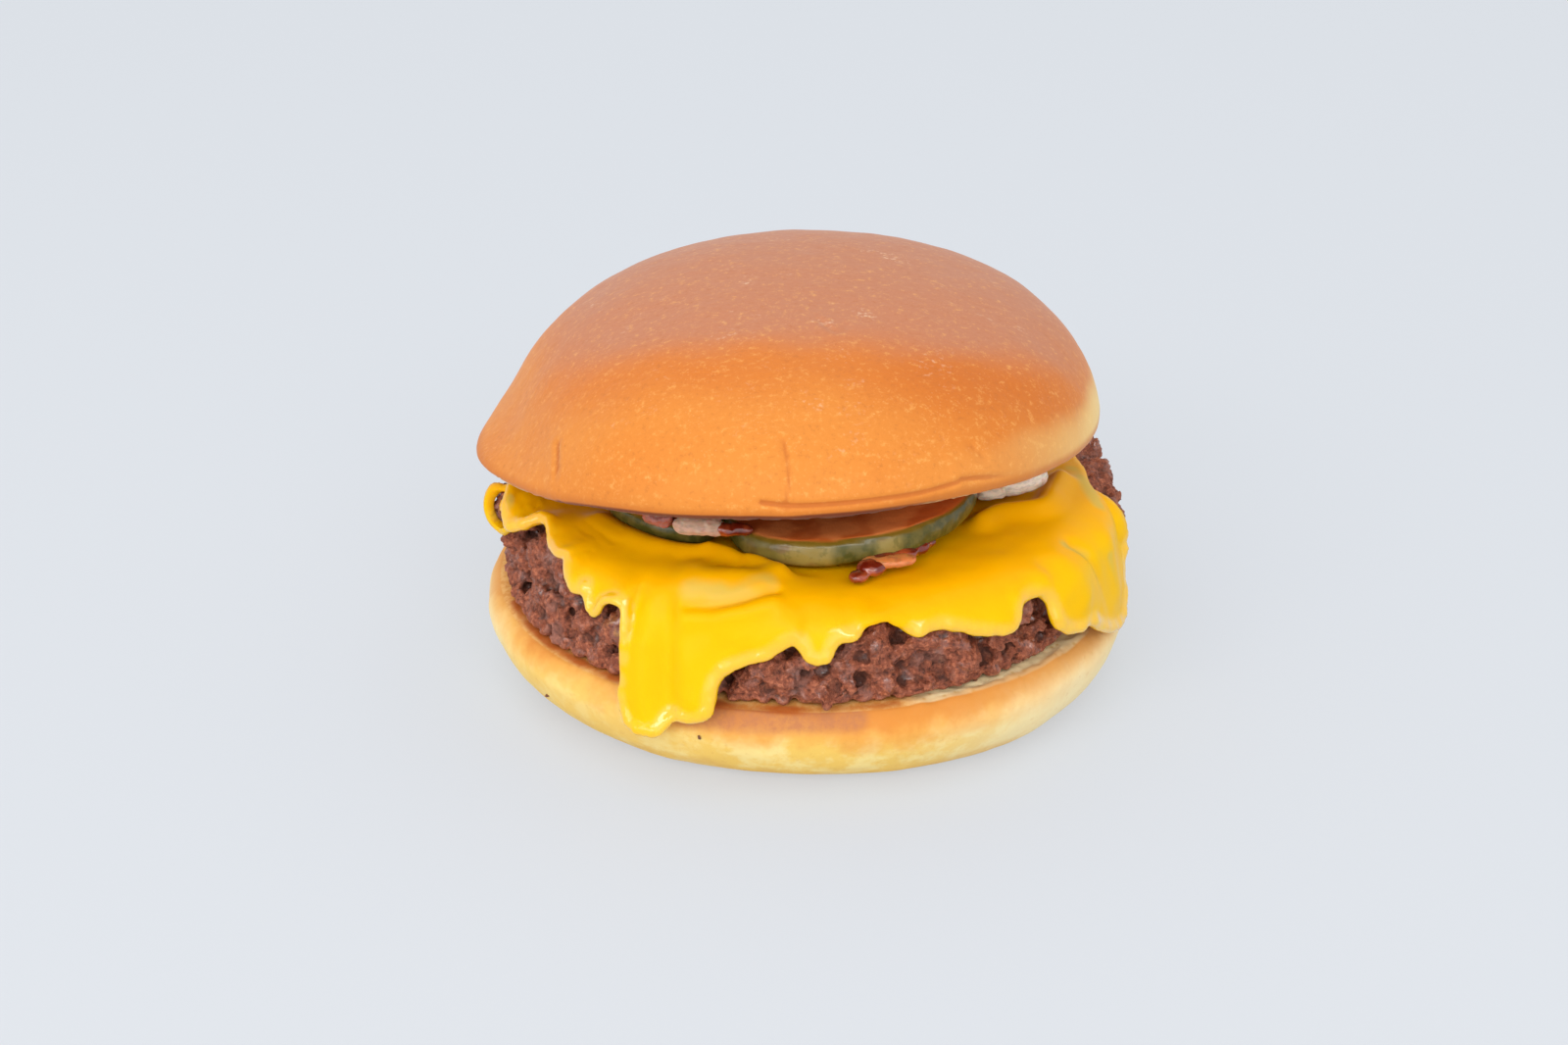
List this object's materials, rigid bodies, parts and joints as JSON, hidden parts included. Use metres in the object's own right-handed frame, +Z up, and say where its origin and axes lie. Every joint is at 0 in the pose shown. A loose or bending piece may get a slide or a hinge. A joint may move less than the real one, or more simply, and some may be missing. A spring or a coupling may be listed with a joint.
{
  "type": "cheeseburger",
  "caption": "Cheeseburger in a soft round bun: beef patty under a melted cheese slice, pickle slices, chopped onion and ketchup.",
  "frame": {"origin": "centre of the bounding box in plan, on the surface the burger rests on", "axes": "+Z up, -Y towards the viewer who sees the open front with the pickles, +X to that viewer's right"},
  "size_m": [0.107, 0.1034, 0.0659],
  "materials": {
    "heel_bread": "pale baked bread with a browned upper rim",
    "beef": "seared crumbled mince with a thin greasy sheen",
    "cheese": "glossy melted processed cheese",
    "pickle": "wet olive green pickle",
    "relish": "wet ketchup with chopped onion",
    "onion": "moist translucent onion",
    "crown_crust": "golden brown baked crust with a soft sheen"
  },
  "bodies": {
    "root": {"bun_heel": "heel_bread", "beef_patty": "beef", "cheese_slice": "cheese", "pickle_front": "pickle", "pickle_left": "pickle", "onion_relish": "relish", "onion_left": "onion", "onion_left_pink": "onion", "onion_right": "onion", "onion_right_small": "onion", "onion_front": "onion", "bun_crown": "crown_crust"}
  },
  "joints": []
}
